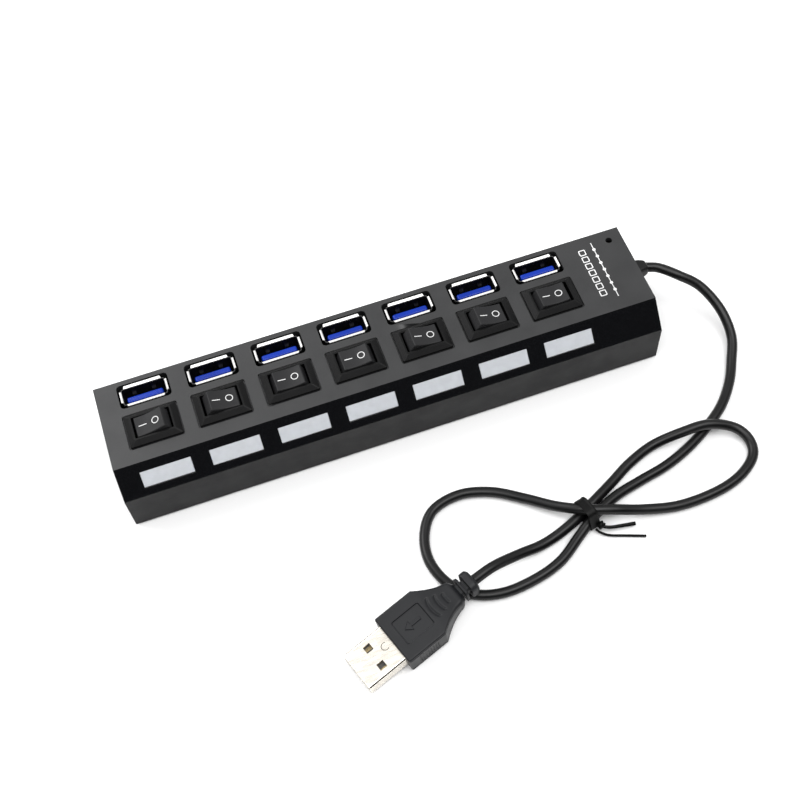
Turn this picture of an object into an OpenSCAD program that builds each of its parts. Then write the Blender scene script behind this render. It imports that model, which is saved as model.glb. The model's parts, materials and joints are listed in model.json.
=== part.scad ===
// Long desktop USB hub: a row of upright sockets, a rocker switch in front of each socket,
// a glossy strip with light windows along the front chamfer, and a short lead with a plug.
// Millimetres. X runs along the hub, -X to +X ending at the lead. -Y is the side with the light strip.
// Z = 0 is the surface that the hub, its lead and its plug lie on. X = Y = 0 is the hub's middle.

/* [Housing] */
// Length of the housing
housing_l = 162; // [161:0.5:166]
// Depth of the housing, front edge to back
housing_d = 34.8; // [34.8:0.1:36]
// Height of the housing without its feet
housing_h = 22.2; // [22:0.1:23]
// How far the front chamfer runs back
chamfer_y = 6.4; // [6:0.1:6.8]
// How far the front chamfer runs down
chamfer_z = 7.8; // [7.4:0.1:8.2]
// Slope of the front wall below the chamfer, measured at its foot
front_draft = 0.5; // [0.2:0.1:0.8]
// Slope of the back wall, measured at its top
back_draft = 0.4; // [0.2:0.1:0.6]
// Thickness of the housing's walls
wall = 1.5; // [1.4:0.1:1.6]
// Thickness of the rubber feet
foot_h = 0.8; // [0.6:0.1:1]

/* [Stations] */
// Distance from one socket to the next
pitch = 20; // [19.9:0.1:20.2]
// Distance from the housing's left end to the first socket's middle
first_x = 13.9; // [13.8:0.1:14.2]
// Distance from the socket row's middle line to the hub's middle line
socket_y = 11.5; // [11.4:0.1:11.6]
// Distance from the switch row's middle line to the hub's middle line, negative to the front
switch_y = -0.7; // [-0.9:0.1:-0.5]

/* [Sockets] */
// Width of the steel shell
shell_w = 13.1; // [13:0.1:13.2]
// Depth of the steel shell
shell_d = 5.7; // [5.6:0.05:5.8]
// Thickness of the shell's sheet
shell_t = 0.3; // [0.25:0.05:0.35]
// Width of the blue tongue
tongue_w = 10.9; // [10.6:0.1:11]

/* [Switches] */
// Width of the switch's rim where it meets the housing
rim_w = 15.2; // [15:0.1:15.4]
// Depth of the switch's rim where it meets the housing
rim_d = 10.8; // [10.6:0.1:11]
// Height of the rim above the housing
rim_h = 1.6; // [1.4:0.1:1.8]
// Most that a rocker tilts each way, in degrees
rocker_travel = 14; // [10:1:14]
// Resting tilt of each rocker in degrees, left to right, positive with the left end raised
rocker_rest = [-12, 13, 0, -3, 14, 14, 3];
// Radius of the pins that a rocker turns on
pivot_r = 0.9; // [0.8:0.05:0.95]

/* [Lead] */
// Diameter of the lead
cord_d = 3; // [2.8:0.1:3]
// Height of the lead's middle where it leaves the housing
exit_z = 14; // [13.8:0.1:14.2]
// Distance from the lead's exit to the hub's middle line
exit_y = 6; // [5.8:0.1:6.2]
// How far the strain relief stands out of the housing
relief_l = 5.5; // [5:0.1:5.5]
// Direction of the plug, turned from the hub's long axis in degrees
plug_turn = 19; // [18:1:20]
// Rise of the plug towards its lead in degrees
plug_rise = 6; // [5:0.5:7]

/* [Hidden] */
$fn = 48;
stations = 7;
numbers = [1 : stations];
function names(word) = [for (i = numbers) str(word, "_", i)];
gap = 0.05;
over = 1;

// Housing profile, seen from the left end, with the front at -Y
top_z = foot_h + housing_h;
front_y = -housing_d / 2;
back_y = housing_d / 2;
edge_y = front_y + chamfer_y;
split_z = top_z - chamfer_z;
chamfer_l = norm([chamfer_y, chamfer_z]);
chamfer_turn = atan2(chamfer_z, chamfer_y);
strip_t = 1;
chamfer_wall = 1.2;
// Height above the base's underside turned into the back wall's place
function back_at(z) = back_y - back_draft * (z - foot_h) / housing_h;
function front_at(z) = front_y + front_draft * (split_z - z) / (split_z - foot_h);
// Place on a line parallel to the chamfer, a depth below its face, at a height
function chamfer_at(depth, z) =
    edge_y + depth / sin(chamfer_turn) - (top_z - z) * chamfer_y / chamfer_z;
strip_foot = [chamfer_at(strip_t, split_z), split_z];
strip_head = [edge_y, top_z] + strip_t * [sin(chamfer_turn), -cos(chamfer_turn)];
cover_in_z = top_z - wall;
liner = strip_t + chamfer_wall;

// Circuit board
pcb_z = 6.4;
pcb_t = 1.6;
board_z = pcb_z + pcb_t;
pcb_l = housing_l - 4;
pcb_front = -14;
pcb_back = 15;
base_floor = foot_h + wall;
screws = [[-77.2, -6], [-77.2, 10], [72, -6], [72, 13]];
boss_r = 2.2;
pilot_r = 1;
screw_r = 1.1;
screw_head_r = 2;
screw_head_h = 1;
recess_h = 1.2;
screw_top = 17;
props_x = [-37.1, 2.9, 42.9];
feet_x = 63;
feet_y = 11.5;
foot_r = 4;

// Sockets
cut_w = 15;
cut_d = 8;
cut_r = 1.2;
shell_top = top_z + 0.1;
lip_z = top_z - 1.1;
lip_out_x = 0.45;
lip_out_y = 0.7;
lip_long = 11.2;
lip_short = 3.9;
socket_floor = board_z + 4;
tongue_t = 1.9;
tongue_back = 0.7;
tongue_top = top_z - 1;
contact_x = [-3.5, -1, 1, 3.5];
contact_t = 0.2;

// Light windows
lens_w = 14.6;
lens_h = 4.6;
lens_s = 5.25;
led_r = 1.5;
led_y = -12;
led_h = 4;

// Switches
bay_w = 11;
bay_d = 7;
frame_w = 12.8;
frame_d = 8.4;
frame_z = 11;
bay_z = 12.5;
rim_top_w = 12;
rim_top_d = 8;
rim_side = 0.4;
pivot_z = top_z - 1;
rocker_d = 6.7;
rocker_h = 3.6;
pivot_gap = 0.05;
pivot_l = 8.2;
rocker_side = [[4.1, rocker_h], [5.2, 0.9], [5, 0], [2, -3.2], [1, -4.5]];

// Lead
notch = 4.4;
relief_w = 5;
relief_x = housing_l / 2 + relief_l;
collar_w = 5.6;
lead_x = 74;
lead_r = 0.45;
lead_pitch = 1.1;
route = [
    [relief_x, exit_y, exit_z], [90.4, 4.5, 13.5], [95, 0.5, 12.6], [100.3, -4, 10.1],
    [103.8, -11.6, 6.5], [103.9, -19.9, 3.6], [100.7, -27.1, 1.9], [96.7, -33.8, 1.6],
    [91.1, -40.1, 1.6], [84.3, -45, 1.6], [76.2, -49.5, 1.6], [67.7, -52.7, 1.6], [58.5, -54.7, 1.6],
    [50, -57, 2.1], [42.1, -60.7, 2.4], [36.1, -64.6, 1.8], [28.5, -69.7, 1.6], [20, -72.4, 1.6],
    [10.5, -73.2, 1.6], [2.5, -70.9, 1.6], [-3.1, -65.5, 1.6], [-5.8, -57.5, 1.6], [-4.5, -49.4, 1.6],
    [0.3, -42.9, 1.6], [9, -40.8, 1.6], [18, -43.2, 1.6], [26, -48.6, 2], [32.7, -54.4, 3.5],
    [39.1, -58.8, 5.3], [46.8, -61.7, 5.1], [56, -63.7, 2.5], [66, -65.6, 1.6], [77, -65.3, 1.6],
    [85.5, -63.1, 1.6], [91.8, -58.7, 1.6], [93.3, -53.5, 2.1], [90.7, -48.8, 3.1], [83.7, -46.1, 4.8],
    [76.2, -45.6, 4.4], [67, -45.4, 2], [58.5, -48.3, 1.7], [51.3, -52.2, 1.7], [43.9, -56.2, 2.1],
    [34.9, -60.7, 2], [26.1, -63.4, 1.7], [17.5, -64.8, 3.5], [9.5, -66.9, 6.4], [2.9, -69.1, 6.9]];
spans = len(route) - 1;
rings = 72;
sides = 8;

// Plug, in its own frame: X = 0 at the moulding's front face, +X towards the lead
plug_at = [-23.1, -78, 4];
plug_h = 8;
mould_outline = [[0, 7.7], [12.2, 7.7], [13.8, 6.4], [15.6, 5.3], [17.6, 4.7], [20, 4.3], [22.6, 3.8]];
mould_side = [[0, plug_h / 2], [12.2, plug_h / 2], [16, 3.6], [19, 3.1], [22.6, 2.7]];
neck_w = 4.6;
neck_end = 25.2;
collar_d = 6.6;
collar_end = 27.6;
metal_l = 12.3;
metal_w = 12;
metal_h = 4.5;
metal_in = 5;
window = 2.1;
window_x = -5.9;
window_y = 3;
insulator_h = 1.9;

// Twist tie round the crossing strands
tie_at = [41, -59.8, 0.05];
tie_turn = 27.5;
tie_w = 2.8;
tie_t = 0.4;
tie_in = [[-3.9, 0], [4.8, 7.05]];
knot_r = 1.2;
knot_l = 1.8;
knot_z = 2.4;
tail_at = [43.2, -64.4, 1.8];

// An outline closed by its mirror image across the first axis
function both_sides(edge) = concat(edge, [for (k = [len(edge) - 1 : -1 : 0]) [edge[k][0], -edge[k][1]]]);
function port_x(i) = -housing_l / 2 + first_x + (i - 1) * pitch;

// Smooth curve through the route: one cubic per span, with the spans' neighbours as slopes
function knot(i) =
    i < 0 ? 2 * route[0] - route[1] :
    i > spans ? 2 * route[spans] - route[spans - 1] : route[i];
function cubic(a, b, c, d, t) =
    (2 * b + (c - a) * t + (2 * a - 5 * b + 4 * c - d) * t * t + (3 * b - a - 3 * c + d) * t * t * t) / 2;
function place(u) =
    let (i = min(floor(u), spans - 1))
    cubic(knot(i - 1), knot(i), knot(i + 1), knot(i + 2), u - i);
function unit(v) = v / norm(v);
function plug_axis() = [cos(plug_turn) * cos(plug_rise), sin(plug_turn) * cos(plug_rise), sin(plug_rise)];
// Direction of travel at a ring; the two end rings lie flat on the strain reliefs
function travel(k) =
    k == 0 ? [1, 0, 0] :
    k == rings ? -plug_axis() :
    unit(place(spans * (k + 0.1) / rings) - place(spans * (k - 0.1) / rings));
function ring(k) =
    let (t = travel(k), side = unit(cross([0, 0, 1], t)), up = cross(t, side), p = place(spans * k / rings))
    [for (s = [0 : sides - 1]) p + cord_d / 2 * (cos(s * 360 / sides) * side + sin(s * 360 / sides) * up)];

// Extrudes a profile drawn in Y and Z along X
module along_x(l) {
    rotate([90, 0, 90]) linear_extrude(l, center = true) children();
}

// Extrudes a profile drawn in X and Z along Y
module along_y(l) {
    rotate([90, 0, 0]) linear_extrude(l, center = true) children();
}

// A box centred in X and Y that stands on its Z = 0 face
module block(w, d, h) {
    translate([-w / 2, -d / 2, 0]) cube([w, d, h]);
}

module rounded_square(w, d, r) {
    square([w - 2 * r, d], center = true);
    square([w, d - 2 * r], center = true);
    for (x = [-1, 1], y = [-1, 1]) translate([x * (w / 2 - r), y * (d / 2 - r)]) circle(r);
}

// Draws its children on the chamfer: X along the hub, Y up the slope, Z out of the face
module on_chamfer(x) {
    translate([x, edge_y, top_z]) rotate([chamfer_turn, 0, 0]) children();
}

module at_plug() {
    translate(plug_at) rotate([0, 0, plug_turn]) rotate([0, -plug_rise, 0]) children();
}

module window_holes(play) {
    for (i = numbers)
        on_chamfer(port_x(i))
            translate([0, -lens_s, -liner - over])
                block(lens_w + 2 * play, lens_h + 2 * play, liner + 2 * over);
}

module exit_notch() {
    translate([housing_l / 2, exit_y, exit_z]) cube([2 * wall + 2, notch + gap, notch + gap], center = true);
}

module top_cover() {
    outer = [[edge_y, top_z], [back_at(top_z), top_z], [back_at(split_z), split_z], strip_foot, strip_head];
    inner = [
        [chamfer_at(liner, cover_in_z), cover_in_z], [back_at(cover_in_z) - wall, cover_in_z],
        [back_at(split_z) - wall, split_z - over], [chamfer_at(liner, split_z), split_z - over],
        [chamfer_at(liner, split_z), split_z]];
    color([0.17, 0.17, 0.18]) difference() {
        union() {
            difference() {
                along_x(housing_l) polygon(outer);
                along_x(housing_l - 2 * wall) polygon(inner);
            }
            for (p = screws)
                translate([p[0], p[1], board_z]) cylinder(r = boss_r, h = cover_in_z - board_z + 0.2);
        }
        for (i = numbers) {
            translate([port_x(i), socket_y, cover_in_z - over])
                linear_extrude(wall + 2 * over) rounded_square(cut_w, cut_d, cut_r);
            translate([port_x(i), switch_y, cover_in_z - over])
                block(frame_w + 2 * gap, frame_d + 2 * gap, wall + 2 * over);
        }
        for (p = screws)
            translate([p[0], p[1], board_z - over]) cylinder(r = pilot_r, h = screw_top - board_z + 2 * over);
        translate([housing_l / 2 - 4.2, 13.2, cover_in_z - over]) cylinder(r = 1, h = wall + 2 * over);
        window_holes(gap);
        exit_notch();
    }
}

module light_strip() {
    color([0.03, 0.03, 0.035]) difference() {
        along_x(housing_l) polygon([[edge_y, top_z], [front_y, split_z], strip_foot, strip_head]);
        window_holes(gap);
    }
}

module status_lens(i) {
    color([0.86, 0.87, 0.9]) on_chamfer(port_x(i))
        translate([0, -lens_s, -liner]) block(lens_w, lens_h, liner - gap);
}

module base_cover() {
    outer = [
        [front_y, split_z], [front_at(foot_h), foot_h], [back_y, foot_h], [back_at(split_z), split_z]];
    inner = [
        [front_y + wall, split_z + over], [front_at(base_floor) + wall, base_floor],
        [back_at(base_floor) - wall, base_floor], [back_at(split_z) - wall, split_z + over]];
    color([0.15, 0.15, 0.16]) difference() {
        union() {
            difference() {
                along_x(housing_l) polygon(outer);
                along_x(housing_l - 2 * wall) polygon(inner);
            }
            for (p = screws)
                translate([p[0], p[1], foot_h]) cylinder(r = boss_r + 0.3, h = pcb_z - foot_h);
            for (x = props_x) translate([x, 0, foot_h]) cylinder(r = 1.5, h = pcb_z - foot_h);
        }
        for (p = screws) {
            translate([p[0], p[1], 0]) cylinder(r = screw_r + gap, h = pcb_z + over);
            translate([p[0], p[1], 0]) cylinder(r = screw_head_r + 0.2, h = foot_h + recess_h);
        }
        exit_notch();
    }
}

module rubber_feet() {
    color([0.08, 0.08, 0.08])
        for (x = [-1, 1], y = [-1, 1]) translate([x * feet_x, y * feet_y, 0]) cylinder(r = foot_r, h = foot_h);
}

module case_screws() {
    head_z = foot_h + recess_h - screw_head_h;
    color([0.62, 0.63, 0.65])
        for (p = screws) translate([p[0], p[1], head_z]) difference() {
            union() {
                cylinder(r = screw_head_r, h = screw_head_h);
                cylinder(r = screw_r, h = screw_top - head_z);
            }
            for (a = [0, 90]) rotate(a) translate([0, 0, -over]) block(2.4, 0.6, over + 0.6);
        }
}

module pcb() {
    color([0.05, 0.3, 0.16]) difference() {
        translate([-pcb_l / 2, pcb_front, pcb_z]) cube([pcb_l, pcb_back - pcb_front, pcb_t]);
        for (p = screws) translate([p[0], p[1], pcb_z - over]) cylinder(r = 1.3, h = pcb_t + 2 * over);
    }
}

module hub_chips() {
    color([0.1, 0.1, 0.1])
        for (p = [[65, -3], [2.9, 2.5]]) translate([p[0], p[1], board_z]) {
            block(7, 7, 1.5);
            for (a = [0, 90]) rotate(a) for (k = [-5 : 5]) translate([k * 0.55, 0, 0]) block(0.25, 8.6, 0.3);
        }
}

module crystal() {
    color([0.75, 0.75, 0.77]) translate([65.5, 4.9, board_z]) linear_extrude(3.4) rounded_square(10.5, 4.4, 2.1);
}

module capacitors() {
    color([0.12, 0.14, 0.3]) for (x = [63.6, 68.4])
        translate([x, -10.6, board_z]) cylinder(r = 2.2, h = 6);
}

module resistors() {
    color([0.14, 0.14, 0.15])
        for (i = numbers, x = [-6, 6]) translate([port_x(i) + x, -9, board_z]) block(2, 1.25, 0.55);
}

module status_leds() {
    color([0.85, 0.92, 0.85]) for (i = numbers) translate([port_x(i), led_y, board_z]) {
        cylinder(r = led_r, h = led_h);
        translate([0, 0, led_h]) sphere(led_r);
    }
}

module power_led() {
    color([0.9, 0.3, 0.25]) translate([housing_l / 2 - 4.2, 13.2, board_z]) block(1.6, 0.8, 0.6);
}

module usb_shell(i) {
    half = [shell_w, shell_d] / 2;
    color([0.82, 0.82, 0.84]) translate([port_x(i), socket_y, 0]) {
        difference() {
            translate([0, 0, board_z]) block(shell_w, shell_d, lip_z - board_z);
            translate([0, 0, board_z - over])
                block(shell_w - 2 * shell_t, shell_d - 2 * shell_t, lip_z - board_z + 2 * over);
            for (x = [-2.9, 2.9]) translate([x, half[1], board_z + 7]) block(1.6, 3 * shell_t, 4);
        }
        for (a = [0, 180]) rotate(a) {
            along_y(lip_short) polygon([
                [half[0] - shell_t, lip_z], [half[0], lip_z], [half[0] + lip_out_x, shell_top],
                [half[0] + lip_out_x - shell_t, shell_top]]);
            along_x(lip_long) polygon([
                [half[1] - shell_t, lip_z], [half[1], lip_z], [half[1] + lip_out_y, shell_top],
                [half[1] + lip_out_y - shell_t, shell_top]]);
        }
    }
}

module usb_tongue(i) {
    inside = [shell_w, shell_d] - 2 * [shell_t + gap, shell_t + gap];
    color([0.12, 0.28, 0.85]) translate([port_x(i), socket_y, board_z]) {
        block(inside[0], inside[1], socket_floor - board_z);
        translate([-tongue_w / 2, -shell_d / 2 + shell_t + tongue_back, 0])
            cube([tongue_w, tongue_t, tongue_top - board_z]);
    }
}

module port_contacts() {
    face = -shell_d / 2 + shell_t + tongue_back + tongue_t;
    color([0.85, 0.68, 0.3]) for (i = numbers, x = contact_x)
        translate([port_x(i) + x - 0.5, socket_y + face, socket_floor])
            cube([1, contact_t, tongue_top - socket_floor - 1]);
}

module switch_frame(i) {
    half = [rim_w, rim_d] / 2;
    half_top = [rim_top_w, rim_top_d] / 2;
    rim_profiles = [for (k = [0, 1]) [
        [-half[k], 0], [half[k], 0], [half[k], rim_side], [half_top[k], rim_h],
        [-half_top[k], rim_h], [-half[k], rim_side]]];
    color([0.09, 0.09, 0.095]) translate([port_x(i), switch_y, 0]) difference() {
        union() {
            translate([0, 0, top_z]) intersection() {
                along_y(rim_d + over) polygon(rim_profiles[0]);
                along_x(rim_w + over) polygon(rim_profiles[1]);
            }
            translate([0, 0, frame_z]) block(frame_w, frame_d, top_z - frame_z);
        }
        translate([0, 0, bay_z]) block(bay_w, bay_d, top_z + rim_h - bay_z + over);
        translate([0, 0, pivot_z]) rotate([90, 0, 0])
            cylinder(r = pivot_r + pivot_gap, h = frame_d + over, center = true);
    }
}

module switch_rocker(i) {
    mirrored = [for (k = [len(rocker_side) - 1 : -1 : 0]) [-rocker_side[k][0], rocker_side[k][1]]];
    color([0.11, 0.11, 0.115]) translate([port_x(i), switch_y, pivot_z]) rotate([0, rocker_rest[i - 1], 0]) {
        along_y(rocker_d) polygon(concat(rocker_side, mirrored));
        rotate([90, 0, 0]) cylinder(r = pivot_r, h = pivot_l, center = true);
    }
}

module switch_terminals() {
    color([0.78, 0.76, 0.7]) for (i = numbers, x = [-3.6, 3.6])
        translate([port_x(i) + x, switch_y, board_z]) block(0.8, 2.4, frame_z - board_z);
}

module strain_relief() {
    color([0.09, 0.09, 0.09]) translate([housing_l / 2, exit_y, exit_z]) {
        translate([relief_l / 2, 0, 0]) cube([relief_l, relief_w, relief_w], center = true);
        translate([-wall / 2, 0, 0]) cube([wall, notch, notch], center = true);
        translate([-wall - 0.75, 0, 0]) cube([1.5, collar_w, collar_w], center = true);
    }
}

module cord_leads() {
    start = housing_l / 2 - wall - 1.5;
    colors = [[0.8, 0.1, 0.1], [0.9, 0.9, 0.9], [0.1, 0.6, 0.2], [0.1, 0.1, 0.1]];
    for (k = [0 : 3]) color(colors[k]) translate([lead_x, exit_y + (k - 1.5) * lead_pitch, 0]) {
        translate([0, 0, board_z]) cylinder(r = lead_r, h = exit_z - board_z);
        translate([0, 0, exit_z]) rotate([0, 90, 0]) cylinder(r = lead_r, h = start - lead_x);
        translate([0, 0, exit_z]) sphere(lead_r);
    }
}

module cord() {
    points = [for (k = [0 : rings]) each ring(k)];
    skin = [for (k = [0 : rings - 1], s = [0 : sides - 1]) let (n = (s + 1) % sides)
        [k * sides + s, k * sides + n, (k + 1) * sides + n, (k + 1) * sides + s]];
    start = [for (s = [sides - 1 : -1 : 0]) s];
    end = [for (s = [0 : sides - 1]) rings * sides + s];
    color([0.07, 0.07, 0.07]) polyhedron(points, concat([start], skin, [end]));
}

module plug_overmold() {
    color([0.1, 0.1, 0.105]) at_plug() difference() {
        union() {
            intersection() {
                translate([0, 0, -plug_h / 2]) linear_extrude(plug_h) polygon(both_sides(mould_outline));
                along_y(3 * plug_h) polygon(both_sides(mould_side));
            }
            translate([22, -neck_w / 2, -neck_w / 2]) cube([neck_end - 22, neck_w, neck_w]);
            translate([neck_end, 0, 0]) rotate([0, 90, 0]) cylinder(d = collar_d, h = collar_end - neck_end);
        }
        translate([-over, -metal_w / 2, -metal_h / 2]) cube([metal_in + over, metal_w, metal_h]);
    }
}

module plug_shell() {
    length = metal_l + metal_in;
    color([0.9, 0.88, 0.84]) at_plug() difference() {
        translate([-metal_l, -metal_w / 2, -metal_h / 2]) cube([length, metal_w, metal_h]);
        translate([-metal_l - over, -metal_w / 2 + shell_t, -metal_h / 2 + shell_t])
            cube([length + 2 * over, metal_w - 2 * shell_t, metal_h - 2 * shell_t]);
        for (y = [-1, 1]) translate([window_x, y * window_y, -metal_h]) block(window, window, 2 * metal_h);
    }
}

module plug_insulator() {
    color([0.88, 0.88, 0.86]) at_plug()
        translate([-metal_l + 0.3, -metal_w / 2 + shell_t, -metal_h / 2 + shell_t])
            cube([metal_l + metal_in - 0.3, metal_w - 2 * shell_t, insulator_h]);
}

module plug_contacts() {
    color([0.86, 0.7, 0.32]) at_plug() for (x = contact_x)
        translate([-metal_l + 1.5, x - 0.5, -metal_h / 2 + shell_t + insulator_h]) cube([7.4, 1, contact_t]);
}

module twist_tie() {
    color([0.06, 0.06, 0.06]) translate(tie_at) rotate([0, 0, tie_turn]) {
        inner = tie_in[1] - tie_in[0];
        translate([0, tie_in[0][0], 0]) along_x(tie_w) difference() {
            translate([-tie_t, 0]) square([inner[0] + 2 * tie_t, inner[1] + tie_t]);
            translate([0, tie_t]) square([inner[0], inner[1] - tie_t]);
        }
        translate([0, tie_in[0][0] - tie_t, knot_z]) rotate([90, 0, 0]) cylinder(r = knot_r, h = knot_l);
    }
    color([0.06, 0.06, 0.06]) translate(tail_at) {
        rotate([0, 5, -10]) translate([0, -0.25, -0.4]) cube([9.2, 0.5, 1]);
        rotate([0, 6, -31]) translate([0, -0.3, -0.4]) cube([11.8, 0.6, 0.6]);
    }
}

top_cover();
light_strip();
base_cover();
rubber_feet();
case_screws();
pcb();
hub_chips();
crystal();
capacitors();
resistors();
status_leds();
power_led();
for (i = numbers) status_lens(i);
for (i = numbers) usb_shell(i);
for (i = numbers) usb_tongue(i);
port_contacts();
for (i = numbers) switch_frame(i);
for (i = numbers) switch_rocker(i);
switch_terminals();
strain_relief();
cord_leads();
cord();
plug_overmold();
plug_shell();
plug_insulator();
plug_contacts();
twist_tie();
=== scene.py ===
import json
from math import atan2, cos, exp, pi, radians, sin, sqrt

import bmesh
import bpy
from mathutils import Matrix, Vector


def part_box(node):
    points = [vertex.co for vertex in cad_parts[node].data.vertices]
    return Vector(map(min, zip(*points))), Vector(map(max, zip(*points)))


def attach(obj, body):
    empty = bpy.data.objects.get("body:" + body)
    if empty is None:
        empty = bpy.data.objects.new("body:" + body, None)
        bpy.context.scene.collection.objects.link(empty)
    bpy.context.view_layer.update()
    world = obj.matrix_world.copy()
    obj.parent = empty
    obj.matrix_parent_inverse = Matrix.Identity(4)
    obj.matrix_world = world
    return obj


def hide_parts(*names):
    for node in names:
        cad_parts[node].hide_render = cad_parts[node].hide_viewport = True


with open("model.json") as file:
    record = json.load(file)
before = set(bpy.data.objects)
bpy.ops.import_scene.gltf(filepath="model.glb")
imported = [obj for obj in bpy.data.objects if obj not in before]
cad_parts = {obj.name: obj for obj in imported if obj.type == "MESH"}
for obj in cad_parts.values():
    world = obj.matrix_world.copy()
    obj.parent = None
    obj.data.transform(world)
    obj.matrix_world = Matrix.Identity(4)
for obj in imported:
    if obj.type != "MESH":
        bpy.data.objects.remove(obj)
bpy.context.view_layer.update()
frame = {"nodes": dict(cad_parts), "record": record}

# Lengths are in millimetres unless a comment says metres; MM turns them into Blender's metres.
MM = 0.001
STATIONS = range(1, 8)
HOUSING = "housing"
# Smallest turn between two faces that is shaded as a sharp edge, in degrees
SHARP_ANGLE = 32


def box_mm(node):
    """Lowest and highest corner of a CAD node, in millimetres."""
    low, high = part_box(node)
    return low / MM, high / MM


def middle(node):
    low, high = box_mm(node)
    return (low + high) / 2


# ---------------------------------------------------------------------------------------------
# Camera, floor and light
# ---------------------------------------------------------------------------------------------

def add_camera():
    azimuth, elevation, roll = radians(-12.99), radians(58.55), radians(-6.68)
    back = Vector((sin(azimuth) * cos(elevation), -cos(azimuth) * cos(elevation), sin(elevation)))
    level = Vector((cos(azimuth), sin(azimuth), 0))
    upright = back.cross(level)
    right = cos(roll) * level + sin(roll) * upright
    up = cos(roll) * upright - sin(roll) * level
    place = Vector((-41.98, -201.18, 331.2)) * MM
    data = bpy.data.cameras.new("camera")
    data.lens = 58.06
    data.sensor_width = 36
    data.clip_start = 0.02
    camera = bpy.data.objects.new("camera", data)
    camera.matrix_world = Matrix(
        [[right[k], up[k], back[k], place[k]] for k in range(3)] + [[0, 0, 0, 1]])
    bpy.context.scene.collection.objects.link(camera)
    bpy.context.scene.camera = camera


def add_area_light(name, place, target, size, power):
    """A soft rectangular light. Places and sizes are in metres, power in watts."""
    data = bpy.data.lights.new(name, "AREA")
    data.shape = "RECTANGLE"
    data.size, data.size_y = size
    data.energy = power
    light = bpy.data.objects.new(name, data)
    light.location = place
    light.rotation_euler = (Vector(target) - Vector(place)).to_track_quat("-Z", "Y").to_euler()
    bpy.context.scene.collection.objects.link(light)


def add_world():
    """A pale studio: bright overhead and behind the hub, dark low down in front of it."""
    world = bpy.data.worlds.new("studio")
    world.use_nodes = True
    nodes, links = world.node_tree.nodes, world.node_tree.links
    background = nodes["Background"]
    place = nodes.new("ShaderNodeTexCoord")
    turn = nodes.new("ShaderNodeMapping")
    turn.inputs["Rotation"].default_value = (radians(38), 0, 0)
    split = nodes.new("ShaderNodeSeparateXYZ")
    ramp = nodes.new("ShaderNodeValToRGB")
    dark, bright = ramp.color_ramp.elements
    dark.position, dark.color = 0.5, (0.015, 0.015, 0.016, 1)
    bright.position, bright.color = 0.72, (1, 1, 1, 1)
    unit = nodes.new("ShaderNodeMapRange")
    unit.inputs["From Min"].default_value = -1
    links.new(place.outputs["Generated"], turn.inputs["Vector"])
    links.new(turn.outputs["Vector"], split.inputs["Vector"])
    links.new(split.outputs["Z"], unit.inputs["Value"])
    links.new(unit.outputs["Result"], ramp.inputs["Fac"])
    links.new(ramp.outputs["Color"], background.inputs["Color"])
    background.inputs["Strength"].default_value = 0.8
    bpy.context.scene.world = world


def add_floor():
    half = 3
    mesh = bpy.data.meshes.new("floor")
    mesh.from_pydata(
        [(-half, -half, 0), (half, -half, 0), (half, half, 0), (-half, half, 0)], [], [(0, 1, 2, 3)])
    material, _, _, shader = new_material("floor_white", (0.93, 0.93, 0.93), 0.7)
    shader.inputs["Specular IOR Level"].default_value = 0.1
    mesh.materials.append(material)
    floor = bpy.data.objects.new("floor", mesh)
    bpy.context.scene.collection.objects.link(floor)


# ---------------------------------------------------------------------------------------------
# Shapes. A shape is a pair: its points in millimetres, and its faces.
# ---------------------------------------------------------------------------------------------

def prism(outline, axis, low, high):
    """An outline pushed along an axis. The outline's numbers are the other two axes, in X, Y, Z order."""
    def point(p, t):
        return {"X": (t, p[0], p[1]), "Y": (p[0], t, p[1]), "Z": (p[0], p[1], t)}[axis]
    n = len(outline)
    points = [point(p, low) for p in outline] + [point(p, high) for p in outline]
    faces = [tuple(range(n)), tuple(range(2 * n - 1, n - 1, -1))]
    faces += [(k, k + n, (k + 1) % n + n, (k + 1) % n) for k in range(n)]
    return points, faces


def block(low, high):
    return prism([(low[0], low[1]), (high[0], low[1]), (high[0], high[1]), (low[0], high[1])],
                 "Z", low[2], high[2])


def loft(rings, closed=False):
    """A skin over rings of equally many points. It has end caps unless it closes on itself."""
    n = len(rings[0])
    points = [p for ring in rings for p in ring]
    faces = []
    for r in range(len(rings) if closed else len(rings) - 1):
        a, b = r * n, (r + 1) % len(rings) * n
        faces += [(a + k, a + (k + 1) % n, b + (k + 1) % n, b + k) for k in range(n)]
    if not closed:
        faces += [tuple(range(n - 1, -1, -1)), tuple(range(len(points) - n, len(points)))]
    return points, faces


def circle(radius, count=24):
    return [(radius * cos(2 * pi * k / count), radius * sin(2 * pi * k / count)) for k in range(count)]


def rounded_outline(width, depth, radius, steps=5):
    """A rectangle with round corners round the origin, anticlockwise."""
    outline = []
    for quarter, (sx, sy) in enumerate([(1, 1), (-1, 1), (-1, -1), (1, -1)]):
        for k in range(steps + 1):
            a = pi / 2 * (quarter + k / steps)
            outline.append((sx * (width / 2 - radius) + radius * cos(a),
                            sy * (depth / 2 - radius) + radius * sin(a)))
    return outline


def tube_wall(outer, inner, low, high):
    """A tube along Z between two outlines of equally many points."""
    rings = [[(*p, low) for p in outer], [(*p, high) for p in outer],
             [(*p, high) for p in inner], [(*p, low) for p in inner]]
    return loft(rings, closed=True)


def sweep(path, section):
    """Sweeps a section along a path. The section takes 0 to 1 and gives its points across and up."""
    rings = []
    for k, p in enumerate(path):
        ahead = (Vector(path[min(k + 1, len(path) - 1)]) - Vector(path[max(k - 1, 0)])).normalized()
        side = Vector((0, 0, 1)).cross(ahead).normalized()
        up = ahead.cross(side)
        rings.append([Vector(p) + x * side + y * up for x, y in section(k / (len(path) - 1))])
    return loft(rings)


def moved(shape, matrix):
    points, faces = shape
    return [matrix @ Vector(p) for p in points], faces


def at(x, y, z):
    return Matrix.Translation((x, y, z))


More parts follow.
